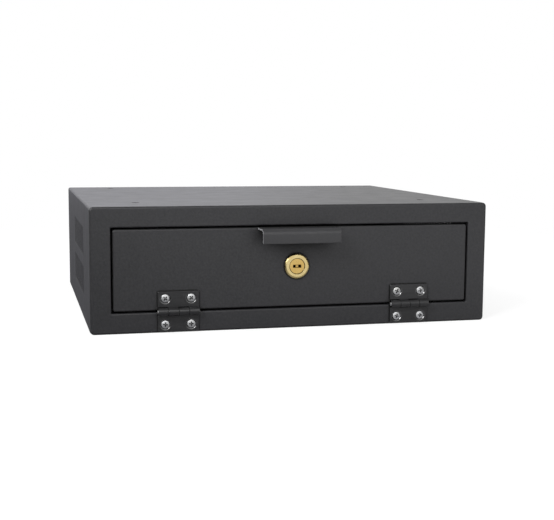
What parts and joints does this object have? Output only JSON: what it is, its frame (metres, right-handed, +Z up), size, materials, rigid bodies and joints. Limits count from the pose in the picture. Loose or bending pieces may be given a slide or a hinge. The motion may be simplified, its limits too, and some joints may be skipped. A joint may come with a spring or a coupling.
{
  "type": "under-desk safe",
  "caption": "Low folded steel box with a flush drop-down door on butt hinges, a brass cam lock, a bent sheet pull and vented sides, to fasten under a desk.",
  "frame": {"origin": "centre of the casing's underside, halfway between its front frame and its rear panel", "axes": "+X to the right seen from the front, +Y from the front to the rear, +Z up"},
  "size_m": [0.423, 0.401, 0.128],
  "materials": {
    "powder_coat": "fine satin black powder coat",
    "hinge_black": "black oxide steel, slightly glossy",
    "zinc_steel": "bright zinc plate",
    "yellow_brass": "polished, faintly turned"
  },
  "bodies": {
    "casing": {"top_panel": "powder_coat", "bottom_panel": "powder_coat", "left_side_panel": "powder_coat", "right_side_panel": "powder_coat", "rear_panel": "powder_coat", "front_frame": "powder_coat", "door_stop_left": "powder_coat", "door_stop_right": "powder_coat", "hinge_frame_leaf_left": "hinge_black", "hinge_frame_leaf_right": "hinge_black", "hinge_pin_left": "zinc_steel", "hinge_pin_right": "zinc_steel", "screw_frame_left_a": "zinc_steel", "screw_frame_left_b": "zinc_steel", "screw_frame_right_a": "zinc_steel", "screw_frame_right_b": "zinc_steel", "nut_frame_left_a": "zinc_steel", "nut_frame_left_b": "zinc_steel", "nut_frame_right_a": "zinc_steel", "nut_frame_right_b": "zinc_steel"},
    "door": {"door_panel": "powder_coat", "pull_handle": "powder_coat", "hinge_door_leaf_left": "hinge_black", "hinge_door_leaf_right": "hinge_black", "screw_door_left_a": "zinc_steel", "screw_door_left_b": "zinc_steel", "screw_door_right_a": "zinc_steel", "screw_door_right_b": "zinc_steel", "nut_door_left_a": "zinc_steel", "nut_door_left_b": "zinc_steel", "nut_door_right_a": "zinc_steel", "nut_door_right_b": "zinc_steel", "lock_housing": "yellow_brass", "lock_washer": "zinc_steel", "lock_nut": "zinc_steel"},
    "lock_rotor": {"lock_plug": "yellow_brass", "lock_cam": "zinc_steel", "cam_screw": "zinc_steel"}
  },
  "joints": [
    {"name": "door_hinge", "type": "hinge", "parent": "casing", "child": "door", "pos_m": [0, -0.19245, 0.0219], "axis": [1, 0, 0], "range_deg": [0, 170]},
    {"name": "lock_turn", "type": "hinge", "parent": "door", "child": "lock_rotor", "pos_m": [0, -0.1885, 0.0647], "axis": [0, 1, 0], "range_deg": [0, 90]}
  ]
}
